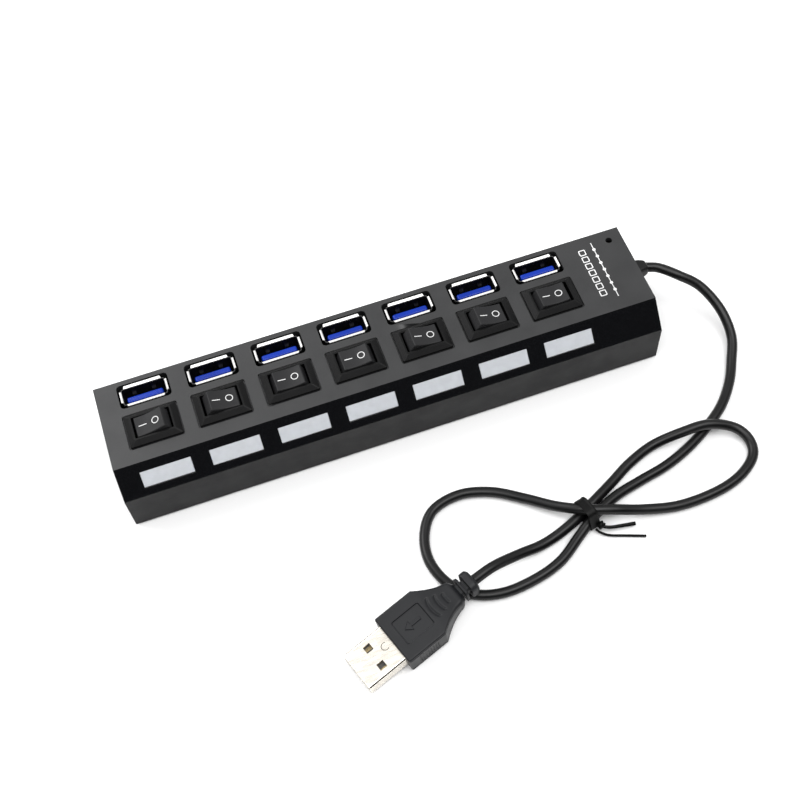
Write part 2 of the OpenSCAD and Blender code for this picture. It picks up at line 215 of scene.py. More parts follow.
def spline(points, per_span=12):
    """The smooth curve that the lead follows: one cubic per span, its slopes set by the neighbours."""
    points = [Vector(p) for p in points]
    padded = [2 * points[0] - points[1], *points, 2 * points[-1] - points[-2]]
    curve = []
    for a, b, c, d in zip(padded, padded[1:], padded[2:], padded[3:]):
        for k in range(per_span):
            t = k / per_span
            curve.append((2 * b + (c - a) * t + (2 * a - 5 * b + 4 * c - d) * t ** 2
                          + (3 * b - a - 3 * c + d) * t ** 3) / 2)
    return curve + [points[-1]]


# ---------------------------------------------------------------------------------------------
# Pieces
# ---------------------------------------------------------------------------------------------

def mesh_of(name, shapes):
    """One mesh from several shapes, in metres, its faces turned outwards."""
    build = bmesh.new()
    for points, faces in shapes:
        made = [build.verts.new(Vector(p) * MM) for p in points]
        for face in faces:
            build.faces.new([made[k] for k in face])
    bmesh.ops.recalc_face_normals(build, faces=build.faces)
    mesh = bpy.data.meshes.new(name)
    build.to_mesh(mesh)
    build.free()
    return mesh


def bare_piece(name, mesh):
    piece = bpy.data.objects.new(name, mesh)
    bpy.context.scene.collection.objects.link(piece)
    return piece


def bake(piece):
    """Applies the piece's modifiers to its mesh."""
    mesh = bpy.data.meshes.new_from_object(piece.evaluated_get(bpy.context.evaluated_depsgraph_get()))
    piece.modifiers.clear()
    old, piece.data = piece.data, mesh
    mesh.name = piece.name
    bpy.data.meshes.remove(old)


def cut(piece, shapes):
    """Takes shapes away from a piece."""
    cutter = bare_piece(piece.name + "_cutter", mesh_of("cutter", shapes))
    hole = piece.modifiers.new("holes", "BOOLEAN")
    hole.operation = "DIFFERENCE"
    hole.solver = "EXACT"
    hole.use_self = True
    hole.object = cutter
    bake(piece)
    bpy.data.objects.remove(cutter)


def shade_smooth(piece, angle=SHARP_ANGLE):
    """Shades a piece smoothly, apart from the edges that turn by more than an angle in degrees."""
    mesh = piece.data
    mesh.polygons.foreach_set("use_smooth", [True] * len(mesh.polygons))
    mesh.set_sharp_from_angle(angle=radians(angle))


def flatten_faces(piece):
    """Lets large faces set the normals at their edges, so that they look flat beside rounded edges."""
    even = piece.modifiers.new("flat_faces", "WEIGHTED_NORMAL")
    even.weight = 100
    even.keep_sharp = True
    bake(piece)


def soften(piece, width, segments=3, angle=28):
    """Rounds the edges that turn by more than an angle in degrees, and shades the piece smoothly."""
    shade_smooth(piece, max(angle, SHARP_ANGLE))
    if width:
        edge = piece.modifiers.new("edges", "BEVEL")
        edge.width = width * MM
        edge.segments = segments
        edge.limit_method = "ANGLE"
        edge.angle_limit = radians(angle)
        edge.miter_outer = "MITER_ARC"
        flatten_faces(piece)


def dress(piece, finish, body=HOUSING, nodes=()):
    """Gives a piece its material, the body it rides on and the CAD nodes that it stands for."""
    piece.data.materials.clear()
    piece.data.materials.append(MATERIALS[finish])
    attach(piece, body)
    if nodes:
        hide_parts(*nodes)
    return piece


def add_piece(name, shapes, finish, edge=0.0, body=HOUSING, nodes=(), segments=3, angle=28, holes=()):
    """One piece from several shapes, its holes cut and then its edges rounded."""
    piece = bare_piece(name, mesh_of(name, shapes))
    if holes:
        cut(piece, holes)
    soften(piece, edge, segments, angle)
    return dress(piece, finish, body, nodes)


def finish_node(node, edge, segments=3, holes=()):
    """Stands in for a CAD node with the same solid, its edges rounded and then its holes cut."""
    build = bmesh.new()
    build.from_mesh(frame["nodes"][node].data)
    bmesh.ops.remove_doubles(build, verts=build.verts, dist=1e-7)
    bmesh.ops.dissolve_limit(build, angle_limit=radians(0.6), verts=build.verts, edges=build.edges)
    mesh = bpy.data.meshes.new(node)
    build.to_mesh(mesh)
    build.free()
    piece = bare_piece(node + "_finished", mesh)
    soften(piece, edge, segments)
    if holes:
        cut(piece, holes)
        shade_smooth(piece)
        flatten_faces(piece)
    return dress(piece, SLOT_OF[node], nodes=[node])


# ---------------------------------------------------------------------------------------------
# Materials
# ---------------------------------------------------------------------------------------------

def new_material(name, color, roughness, metallic=0.0):
    """A material with one shader, and the parts needed to add to it."""
    material = bpy.data.materials.new(name)
    material.use_nodes = True
    nodes, links = material.node_tree.nodes, material.node_tree.links
    shader = nodes["Principled BSDF"]
    shader.inputs["Base Color"].default_value = (*color, 1)
    shader.inputs["Roughness"].default_value = roughness
    shader.inputs["Metallic"].default_value = metallic
    return material, nodes, links, shader


def noise(nodes, links, size, detail, stretch=(1, 1, 1)):
    """Noise in the object's own space, with features of about a size in millimetres."""
    place = nodes.new("ShaderNodeTexCoord")
    mapping = nodes.new("ShaderNodeMapping")
    mapping.inputs["Scale"].default_value = stretch
    texture = nodes.new("ShaderNodeTexNoise")
    texture.inputs["Scale"].default_value = 1 / (size * MM)
    texture.inputs["Detail"].default_value = detail
    links.new(place.outputs["Object"], mapping.inputs["Vector"])
    links.new(mapping.outputs["Vector"], texture.inputs["Vector"])
    return texture.outputs["Fac"]


def spread(nodes, links, source, low, high, start=0.35, stop=0.65):
    """Spreads a noise over a range of values."""
    node = nodes.new("ShaderNodeMapRange")
    node.inputs["From Min"].default_value = start
    node.inputs["From Max"].default_value = stop
    node.inputs["To Min"].default_value = low
    node.inputs["To Max"].default_value = high
    links.new(source, node.inputs["Value"])
    return node.outputs["Result"]


def tint(nodes, links, shader, factor, first, second):
    """Base colour between two colours."""
    node = nodes.new("ShaderNodeMix")
    node.data_type = "RGBA"
    node.inputs["A"].default_value = (*first, 1)
    node.inputs["B"].default_value = (*second, 1)
    links.new(factor, node.inputs["Factor"])
    links.new(node.outputs["Result"], shader.inputs["Base Color"])


def relief(nodes, links, shader, height, depth):
    """Surface relief of a depth in millimetres, on top of any relief set before."""
    node = nodes.new("ShaderNodeBump")
    node.inputs["Distance"].default_value = depth * MM
    links.new(height, node.inputs["Height"])
    if shader.inputs["Normal"].links:
        links.new(shader.inputs["Normal"].links[0].from_socket, node.inputs["Normal"])
    links.new(node.outputs["Normal"], shader.inputs["Normal"])


def plastic(name, dark, light, roughness, grain=0.25, depth=0.012, shine=0.5):
    """Moulded plastic: fine grain, slow change of tone, and patches rubbed smoother by handling."""
    material, nodes, links, shader = new_material(name, light, roughness)
    tint(nodes, links, shader, spread(nodes, links, noise(nodes, links, 14, 4), 0, 1), dark, light)
    rubbed = spread(nodes, links, noise(nodes, links, 7, 5), roughness - 0.05, roughness + 0.06)
    links.new(rubbed, shader.inputs["Roughness"])
    relief(nodes, links, shader, noise(nodes, links, 4 * grain, 2), depth)
    relief(nodes, links, shader, noise(nodes, links, grain, 2), depth)
    shader.inputs["Specular IOR Level"].default_value = shine
    return material


def plated(name, color, roughness, rolled=(1, 1, 1), metallic=1.0):
    """Plated metal: marks of rolling along one direction, and faint haze."""
    material, nodes, links, shader = new_material(name, color, roughness, metallic)
    marks = noise(nodes, links, 0.9, 4, rolled)
    links.new(spread(nodes, links, marks, roughness - 0.05, roughness + 0.08), shader.inputs["Roughness"])
    haze = spread(nodes, links, noise(nodes, links, 3, 4), 0, 1)
    tint(nodes, links, shader, haze, tuple(0.9 * c for c in color), color)
    relief(nodes, links, shader, marks, 0.002)
    return material


def gloss(name, color, roughness):
    """Polished plastic with faint hairlines and a slightly wavy face."""
    material, nodes, links, shader = new_material(name, color, roughness)
    hairs = noise(nodes, links, 1.5, 6, (0.12, 1, 1))
    links.new(spread(nodes, links, hairs, roughness * 0.7, roughness * 1.6), shader.inputs["Roughness"])
    dust = spread(nodes, links, noise(nodes, links, 0.8, 3), 0, 1, 0.6, 0.8)
    tint(nodes, links, shader, dust, color, tuple(c + 0.006 for c in color))
    relief(nodes, links, shader, noise(nodes, links, 22, 2), 0.02)
    return material


def milky(name, color):
    """Diffuser plastic, cloudy and faintly see-through at its edges."""
    material, nodes, links, shader = new_material(name, color, 0.42)
    cloud = spread(nodes, links, noise(nodes, links, 2.2, 5), 0, 1)
    tint(nodes, links, shader, cloud, color, tuple(min(1, 1.08 * c) for c in color))
    shader.inputs["Subsurface Weight"].default_value = 0.3
    shader.inputs["Subsurface Radius"].default_value = (1, 1, 1.2)
    shader.inputs["Subsurface Scale"].default_value = 0.6 * MM
    relief(nodes, links, shader, noise(nodes, links, 0.35, 2), 0.008)
    return material


MATERIALS = {
    "cover_plastic": plastic("cover_grain", (0.016, 0.0163, 0.0172), (0.021, 0.0213, 0.0224), 0.46),
    "base_plastic": plastic(
        "base_grain", (0.0075, 0.0075, 0.008), (0.0105, 0.0105, 0.0112), 0.52, shine=0.18),
    "gloss_strip": gloss("strip_gloss", (0.0045, 0.0047, 0.0055), 0.07),
    "lens_white": milky("lens_milk", (0.52, 0.54, 0.57)),
    "foot_rubber": plastic(
        "foot_rubber_grain", (0.012, 0.012, 0.012), (0.02, 0.02, 0.02), 0.8, 0.4, 0.02, 0.3),
    "screw_steel": plated("screw_zinc", (0.6, 0.6, 0.62), 0.35),
    "board": plastic("board_mask", (0.01, 0.09, 0.04), (0.015, 0.13, 0.06), 0.3, 0.5, 0.01),
    "chip_black": plastic("chip_epoxy", (0.01, 0.01, 0.01), (0.018, 0.018, 0.018), 0.55, 0.15, 0.01),
    "can_metal": plated("can_steel", (0.72, 0.72, 0.74), 0.3),
    "capacitor_sleeve": plastic("sleeve_film", (0.01, 0.013, 0.04), (0.016, 0.02, 0.06), 0.35),
    "led_clear": plastic("led_moulding", (0.6, 0.68, 0.6), (0.75, 0.82, 0.75), 0.15, 0.6, 0.003),
    "nickel": plated("shell_nickel", (0.9, 0.89, 0.875), 0.4, (1, 1, 0.15), 0.4),
    # Nickel darkened to near black: painted shade inside the socket shells, on their springs and in the
    # plug's corner grooves
    "nickel_painted_shade": plated("shell_inside_painted_shade", (0.07, 0.07, 0.07), 0.4),
    "blue_plastic": plastic(
        "tongue_blue", (0.002, 0.022, 0.25), (0.004, 0.032, 0.34), 0.3, 0.3, 0.006, 0.22),
    "gold": plated("contact_gold", (0.5, 0.4, 0.22), 0.4),
    "switch_black": plastic(
        "switch_frame_satin", (0.0025, 0.0025, 0.0027), (0.004, 0.004, 0.0043), 0.42, 0.2, 0.006, 0.15),
    "rocker_black": plastic(
        "rocker_satin", (0.0125, 0.0125, 0.0135), (0.0155, 0.0155, 0.0165), 0.5, 0.18, 0.008, 0.24),
    "tin": plated("terminal_tin", (0.7, 0.69, 0.66), 0.35),
    "relief_rubber": plastic(
        "relief_pvc", (0.004, 0.004, 0.004), (0.007, 0.007, 0.0073), 0.46, 0.3, 0.01, 0.3),
    "wire_jacket": plastic("wire_pvc", (0.35, 0.03, 0.03), (0.45, 0.05, 0.05), 0.4),
    "cord_jacket": plastic(
        "cord_pvc", (0.002, 0.002, 0.0021), (0.004, 0.004, 0.0042), 0.36, 0.5, 0.008, 0.3),
    "plug_rubber": plastic(
        "plug_pvc", (0.006, 0.0065, 0.0078), (0.0085, 0.0091, 0.0107), 0.46, 0.25, 0.012, 0.3),
    "plug_nickel": plated("plug_sheet", (0.83, 0.785, 0.705), 0.28, (0.15, 1, 1), 0.7),
    # Dark grey instead of the insulator's white: painted shade on the insulator seen through the plug's
    # windows
    "insulator_white": plastic("insulator_resin_painted_shade", (0.09, 0.085, 0.078), (0.12, 0.115, 0.105), 0.45),
    "tie_black": plastic("tie_film", (0.001, 0.001, 0.001), (0.002, 0.002, 0.002), 0.45, 0.3, 0.01, 0.16),
    "print_white": plastic("print_ink", (0.62, 0.62, 0.62), (0.75, 0.75, 0.75), 0.45, 0.2, 0.004),
}
SLOT_OF = {row["node"]: row["material_slot"] for row in frame["record"]["subparts"]}


# ---------------------------------------------------------------------------------------------
# Housing
# ---------------------------------------------------------------------------------------------

TOP_Z = box_mm("top_cover")[1].z
# Width, depth and corner radius of a switch's outlines: the shadow gap round it, its rim's foot on the
# cover, the rim's top, the body below the cover, and the bay for the rocker
GROOVE, RIM_FOOT, RIM_TOP = (16.05, 11.65, 0.7), (15.2, 10.8, 0.5), (12, 8, 0.5)
SWITCH_BODY, ROCKER_BAY = (12.8, 8.4, 0.3), (11, 7, 0.25)
GROOVE_DEPTH = 0.7


def groove(i):
    """A shadow gap in the cover round a switch frame."""
    center = middle(f"switch_frame_{i}")
    wall = tube_wall(
        rounded_outline(*GROOVE), rounded_outline(*RIM_FOOT), TOP_Z - GROOVE_DEPTH, TOP_Z + 0.5)
    return moved(wall, at(center.x, center.y, 0))


def add_housing():
    finish_node("top_cover", 0.3, holes=[groove(i) for i in STATIONS])
    finish_node("base_cover", 0.3)
    finish_node("light_strip", 0.12, 2)
    finish_node("rubber_feet", 0.25)
    finish_node("case_screws", 0.08, 2)
    for i in STATIONS:
        finish_node(f"status_lens_{i}", 0.12, 2)


def ink_outline(size, stroke, x, y):
    """A square printed outline on the cover."""
    outer = rounded_outline(size, size, 0.35)
    inner = rounded_outline(size - 2 * stroke, size - 2 * stroke, 0.15)
    return moved(tube_wall(outer, inner, -0.05, 0.02), at(x, y, TOP_Z))


def add_print():
    """Seven small outlines, one for each socket, beside a line with seven dots."""
    outline_x, dot_x, pitch = 67.6, 71.33, 2.6
    rows = [3.8 + pitch * (k - 3) for k in range(7)]
    shapes = [ink_outline(2.1, 0.3, outline_x, y) for y in rows]
    shapes.append(block((71.2, -6.6, TOP_Z - 0.05), (71.45, 14.2, TOP_Z + 0.02)))
    shapes += [moved(prism(circle(0.5), "Z", -0.05, 0.025), at(dot_x, y, TOP_Z)) for y in rows]
    add_piece("top_print", shapes, "print_white")


# ---------------------------------------------------------------------------------------------
# Sockets
# ---------------------------------------------------------------------------------------------

SHELL_W, SHELL_D, SHEET = 13.1, 5.7, 0.3
LIP_H = 0.55
# Widths of the lips on a socket's long and short sides
LONG_LIP, SHORT_LIP = 11.2, 3.9


def lip(wall, width, reach):
    """A flared lip on the +Y side, with the shell's outer wall at Y = wall and its top at Z = 0."""
    rings = []
    for k in range(8):
        t = k / 7
        slope = atan2(reach * (0.75 + 0.5 * t), LIP_H)
        y, z = wall + reach * t * (0.75 + 0.25 * t), LIP_H * (t - 1) - SHEET * sin(slope) * t
        inner = (y - SHEET * cos(slope), z + SHEET * sin(slope))
        half = width / 2 * (1 - 0.05 * t)
        rings.append([(half, y, z), (-half, y, z), (-half, *inner), (half, *inner)])
    return loft(rings)


def spring(x):
    """A contact spring that bulges out of the back wall, its height measured from the shell's top."""
    rings = []
    for k in range(15):
        z = -5.4 + 3.8 * k / 14
        y = SHELL_D / 2 - SHEET - 0.8 * exp(-((z + 3.4) / 0.8) ** 2)
        half = 0.75 - 0.15 * exp(-((z + 3.4) / 0.8) ** 2)
        rings.append(
            [(x + half, y, z), (x - half, y, z), (x - half, y + 0.25, z), (x + half, y + 0.25, z)])
    return loft(rings)


def add_socket(i):
    low, high = box_mm(f"usb_shell_{i}")
    center = (low + high) / 2
    reach_x, reach_y = high.x - center.x - SHELL_W / 2, high.y - center.y - SHELL_D / 2
    walls = tube_wall(
        rounded_outline(SHELL_W, SHELL_D, 0.8),
        rounded_outline(SHELL_W - 2 * SHEET, SHELL_D - 2 * SHEET, 0.5), low.z - high.z, -0.5)
    lips = []
    for turn in (0, 180):
        lips.append(moved(lip(SHELL_D / 2, LONG_LIP, reach_y), Matrix.Rotation(radians(turn), 4, "Z")))
        lips.append(
            moved(lip(SHELL_W / 2, SHORT_LIP, reach_x), Matrix.Rotation(radians(turn + 90), 4, "Z")))
    place = at(center.x, center.y, high.z)
    # The shell's walls and springs take the darkened nickel: painted shade inside the socket
    add_piece(f"socket_shell_{i}", [moved(s, place) for s in (walls, spring(-2.9), spring(2.9))],
              "nickel_painted_shade", 0.07, nodes=[f"usb_shell_{i}"], segments=2)
    add_piece(f"socket_lips_{i}", [moved(s, place) for s in lips], "nickel", 0.07, segments=2)

    low, high = box_mm(f"usb_tongue_{i}")
    bar = prism(rounded_outline(10.6, 1.9, 0.6), "Z", low.z + 3, high.z)
    base = prism(rounded_outline(high.x - low.x, high.y - low.y, 0.6), "Z", low.z, low.z + 4)
    shapes = [moved(bar, at(center.x, center.y - 0.9, 0)), moved(base, at(center.x, center.y, 0))]
    add_piece(f"socket_tongue_{i}", shapes, "blue_plastic", 0.5, nodes=[f"usb_tongue_{i}"],
              segments=5, angle=60)


# ---------------------------------------------------------------------------------------------
# Switches
# ---------------------------------------------------------------------------------------------

ROCKER_HALF = 4.1
BAY_FLOOR = 12.5


def rocker_top(x):
    """Height of the rocker's dished top above its pivot."""
    return 3.6 - 0.5 * (1 - (x / ROCKER_HALF) ** 2)


def rocker_shapes():
    across = [ROCKER_HALF * (1 - k / 6) for k in range(13)]
    top = [(x, rocker_top(x)) for x in across]
    below = [(-5.2, 0.9), (-5, 0), (-2, -3.2), (-1, -4.5), (1, -4.5), (2, -3.2), (5, 0), (5.2, 0.9)]
    return [prism(top + below, "Y", -3.25, 3.25), prism(circle(0.9), "Y", -4.1, 4.1)]


def ink_bar():
    half, rings = 0.12, []
    for k in range(7):
        x = -3.2 + 2.3 * k / 6
        z = rocker_top(x)
        rings.append(
            [(x, -half, z - 0.05), (x, half, z - 0.05), (x, half, z + 0.025), (x, -half, z + 0.025)])
    return loft(rings)


def ink_ring():
    rings = []
    for k in range(40):
        a = 2 * pi * k / 40
        ring = []
        for radius, lift in ((1.1, -0.05), (1.1, 0.025), (0.87, 0.025), (0.87, -0.05)):
            x = 1.75 + radius * cos(a)
            ring.append((x, radius * sin(a), rocker_top(x) + lift))
        rings.append(ring)
    return loft(rings, closed=True)


def resting_tilt(i):
    """A rocker's tilt at rest: its joint turns as far one way as the other from level."""
    row = next(j for j in frame["record"]["behaviour"]["joints"] if j["name"] == f"rocker_{i}_tilt")
    return radians(-sum(row["range_deg"]) / 2)


def add_switch(i):
    low, high = box_mm(f"switch_frame_{i}")
    center = (low + high) / 2
    def rim(z, outline):
        return [(center.x + x, center.y + y, z) for x, y in rounded_outline(*outline)]
    shapes = [
        loft([rim(TOP_Z, RIM_FOOT), rim(TOP_Z + 0.5, RIM_FOOT), rim(high.z, RIM_TOP)]),
        loft([rim(low.z, SWITCH_BODY), rim(TOP_Z + 0.1, SWITCH_BODY)])]
    bay = loft([rim(BAY_FLOOR, ROCKER_BAY), rim(high.z + 1, ROCKER_BAY)])
    add_piece(f"switch_rim_{i}", shapes, "switch_black", 0.16, nodes=[f"switch_frame_{i}"], holes=[bay])
    place = at(center.x, center.y, TOP_Z - 1) @ Matrix.Rotation(resting_tilt(i), 4, "Y")
    body = f"rocker_{i}"
    add_piece(f"rocker_{i}_cap", [moved(s, place) for s in rocker_shapes()], "rocker_black", 0.28,
              body, [f"switch_rocker_{i}"])
    marks = [moved(ink_bar(), place), moved(ink_ring(), place)]
    add_piece(f"rocker_{i}_marks", marks, "print_white", 0, body)


# ---------------------------------------------------------------------------------------------
# Lead
# ---------------------------------------------------------------------------------------------

CORD_R = 1.5
# The lead's line in metres, from its exit to the plug
ROUTE = [
    (0.0865, 0.006, 0.014), (0.0904, 0.0045, 0.0135), (0.095, 0.0005, 0.0126), (0.1003, -0.004, 0.0101),
    (0.1038, -0.0116, 0.0065), (0.1039, -0.0199, 0.0036), (0.1007, -0.0271, 0.0019),
    (0.0967, -0.0338, 0.0016), (0.0911, -0.0401, 0.0016), (0.0843, -0.045, 0.0016),
    (0.0762, -0.0495, 0.0016), (0.0677, -0.0527, 0.0016), (0.0585, -0.0547, 0.0016), (0.05, -0.057, 0.0021),
    (0.0421, -0.0607, 0.0024), (0.0361, -0.0646, 0.0018), (0.0285, -0.0697, 0.0016),
    (0.02, -0.0724, 0.0016), (0.0105, -0.0732, 0.0016), (0.0025, -0.0709, 0.0016),
    (-0.0031, -0.0655, 0.0016), (-0.0058, -0.0575, 0.0016), (-0.0045, -0.0494, 0.0016),
    (0.0003, -0.0429, 0.0016), (0.009, -0.0408, 0.0016), (0.018, -0.0432, 0.0016), (0.026, -0.0486, 0.002),
    (0.0327, -0.0544, 0.0035), (0.0391, -0.0588, 0.0053), (0.0468, -0.0617, 0.0051),
    (0.056, -0.0637, 0.0025), (0.066, -0.0656, 0.0016), (0.077, -0.0653, 0.0016), (0.0855, -0.0631, 0.0016),
    (0.0918, -0.0587, 0.0016), (0.0933, -0.0535, 0.0021), (0.0907, -0.0488, 0.0031),
    (0.0837, -0.0461, 0.0048), (0.0762, -0.0456, 0.0044), (0.067, -0.0454, 0.002),
    (0.0585, -0.0483, 0.0017), (0.0513, -0.0522, 0.0017), (0.0439, -0.0562, 0.0021),
    (0.0349, -0.0607, 0.002), (0.0261, -0.0634, 0.0017), (0.0175, -0.0648, 0.0035),
    (0.0095, -0.0669, 0.0064), (0.0029, -0.0691, 0.0069),
]


def add_cord():
    data = bpy.data.curves.new("cord", "CURVE")
    data.dimensions = "3D"
    line = data.splines.new("BEZIER")
    line.bezier_points.add(len(ROUTE) - 1)
    line.resolution_u = 10
    points = [Vector(p) for p in ROUTE]
    padded = [2 * points[0] - points[1], *points, 2 * points[-1] - points[-2]]
    for knot, before, here, after in zip(line.bezier_points, padded, padded[1:], padded[2:]):
        reach = (after - before) / 6
        knot.co = here
        knot.handle_left_type = knot.handle_right_type = "FREE"
        knot.handle_left, knot.handle_right = here - reach, here + reach
    data.bevel_depth = CORD_R * MM
    data.bevel_resolution = 7
    data.use_fill_caps = True
    piece = bare_piece("lead", data)
    return dress(piece, "cord_jacket", HOUSING, ["cord"])


def add_strain_relief():
    """A short boot that tapers along the lead, with a collar inside the housing's wall."""
    low, high = box_mm("strain_relief")
    center = (low + high) / 2
    wall = box_mm("top_cover")[1].x
    rings = []
    for x, size, radius in (
            (wall - 1.4, 4.4, 0.4), (wall, 4.4, 0.4), (wall + 0.02, 5, 0.7), (wall + 1.6, 5, 0.8),
            (wall + 3.4, 4.7, 1.1), (wall + 4.8, 4.3, 1.4), (high.x - 0.1, 3.9, 1.5), (high.x, 3.5, 1.5)):
        rings.append([(x, center.y + a, center.z + b) for a, b in rounded_outline(size, size, radius)])
    collar = block((low.x, low.y, low.z), (wall - 1.5, high.y, high.z))
    return add_piece(
        "lead_boot", [loft(rings), collar], "relief_rubber", 0.12, nodes=["strain_relief"], segments=2)


# ---------------------------------------------------------------------------------------------
# Plug, in its own frame: X = 0 at the moulding's front face, +X towards the lead
# ---------------------------------------------------------------------------------------------

PLUG = (at(-23.1, -78, 4) @ Matrix.Rotation(radians(19), 4, "Z") @ Matrix.Rotation(radians(-6), 4, "Y"))


def ease(value, start, stop):
    """0 before start, 1 after stop, and a smooth rise between them."""
    t = min(max((value - start) / (stop - start), 0), 1)
    return t * t * (3 - 2 * t)


def moulding_half_width(x):
    return 3.8 + 3.9 * max(1 - max(x - 12.2, 0) / 10.4, 0) ** 2.1


def moulding_half_height(x):
    return 4 - 1.3 * ease(x, 12.2, 22.6)


def edge_inset(x):
    """How far the moulding's end edges are rounded off."""
    return 0.35 * (1 - sqrt(min(x / 0.35, 1))) + 1.3 * ease(x, 20.6, 22.8) ** 2


def grip_groove(x, y, front, half, bow=6.5):
    """Depth of a curved groove whose middle is at X = front and whose ends curve back to the lead."""
    if abs(y) > half + 0.4:
        return 0
    line = front + bow - sqrt(bow * bow - min(y * y, bow * bow))
    across = (x - line) / 0.42
    return 0.34 * exp(-across * across) * (1 - ease(abs(y), half - 0.2, half + 0.4))


def panel(x, y):
    """1 inside the recessed panel on the moulding's top, 0 outside it."""
    dx, dy = abs(x - 7.3) - 3.9, abs(y) - 3.2
    outside = sqrt(max(dx, 0) ** 2 + max(dy, 0) ** 2)
    return 1 - ease(outside, 0.5, 0.66)


def arrow(x, y):
    """1 inside a raised arrow that points to the plug's metal end."""
    shaft = abs(y) < 0.32 and 6.4 < x < 9.8
    head = 4.6 < x < 6.5 and abs(y) < (x - 4.6) * 0.75
    return 1 if shaft or head else 0


# Heights of the points down the moulding's side, close together where its two seam lines run
UPPER_LEVELS = [1, 0.98, 0.96, 0.94, 0.92, 0.89, 0.86, 0.84, 0.82, 0.8, 0.7, 0.6, 0.45, 0.3, 0.15]
SIDE_LEVELS = UPPER_LEVELS + [0] + [-level for level in reversed(UPPER_LEVELS)]
# The grip's curved grooves: the X of each one's middle, and half its width
GRIP_GROOVES = ((13.4, 3), (15.9, 2.4), (18.2, 1.5))


def add_plug_moulding():
    """The moulding's skin: side, floor, side and top of each ring, with a round corner between two."""
    rows = [0, 0.03, 0.08, 0.16, 0.26, 0.38]
    rows += [0.6 + 0.3 * k for k in range(6)]
    rows += [2.4 + 0.12 * k for k in range(147)]
    rows += [20.2 + 0.3 * k for k in range(6)] + [21.9, 22.1, 22.25, 22.4, 22.5, 22.58, 22.6]
    rings = []
    for x in rows:
        inset = edge_inset(x)
        half, tall = moulding_half_width(x) - inset, moulding_half_height(x) - inset
        corner = 0.55 + 0.7 * ease(x, 14, 22)
        ring = []
        for level in SIDE_LEVELS:
            z = (tall - corner) * level
            rib = 0.28 * (1 - ease(abs(z), 1.9, 2.2)) * ease(x, 3.2, 3.5) * (1 - ease(x, 9.5, 9.8))
            seam = 0.8 * (1 - ease(abs(abs(level) - 0.9), 0.05, 0.08)) * ease(x, 0.3, 0.5)
            ring.append((-half + seam + rib * (0.6 + 0.4 * cos(2 * pi * (x - 3.5) / 0.85)), z))
        for k in range(1, 5):
            a = pi / 2 * k / 5
            ring.append((-half + corner * (1 - cos(a)), -tall + corner * (1 - sin(a))))
        for k in range(17):
            ring.append(((half - corner) * (k / 8 - 1), -tall))
        for k in range(1, 5):
            a = pi / 2 * k / 5
            ring.append((half - corner * (1 - sin(a)), -tall + corner * (1 - cos(a))))
        ring += [(-y, -z) for y, z in ring[:len(SIDE_LEVELS)]]
        for k in range(1, 5):
            a = pi / 2 * k / 5
            ring.append((half - corner * (1 - cos(a)), tall - corner * (1 - sin(a))))
        for k in range(97):
            y = (half - corner) * (1 - k / 48)
            z = tall - 0.32 * panel(x, y) + 0.2 * arrow(x, y)
            z -= sum(grip_groove(x, y, front, reach) for front, reach in GRIP_GROOVES)
            ring.append((y, z))
        for k in range(1, 5):
            a = pi / 2 * k / 5
            ring.append((-half + corner * (1 - sin(a)), tall - corner * (1 - cos(a))))
        rings.append([(x, y, z) for y, z in ring])
    return add_piece("plug_moulding", [moved(loft(rings), PLUG)], "plug_rubber", nodes=["plug_overmold"])


def add_plug_neck():
    """The slotted relief behind the moulding, ending in a collar."""
    def ring(x, size, radius):
        return [(x, y, z) for y, z in rounded_outline(size, size, radius)]
    shapes = [
        loft([ring(22.3, 3.6, 0.8), ring(25.4, 3.6, 0.8)]),
        loft([ring(23.2, 6.2, 1.2), ring(24.1, 5.8, 1.2)]),
        loft([ring(25.1, 6.6, 1.9), ring(26.9, 6.6, 1.9), ring(27.6, 5.6, 1.9)])]
    return add_piece("plug_neck", [moved(s, PLUG) for s in shapes], "plug_rubber", 0.22)


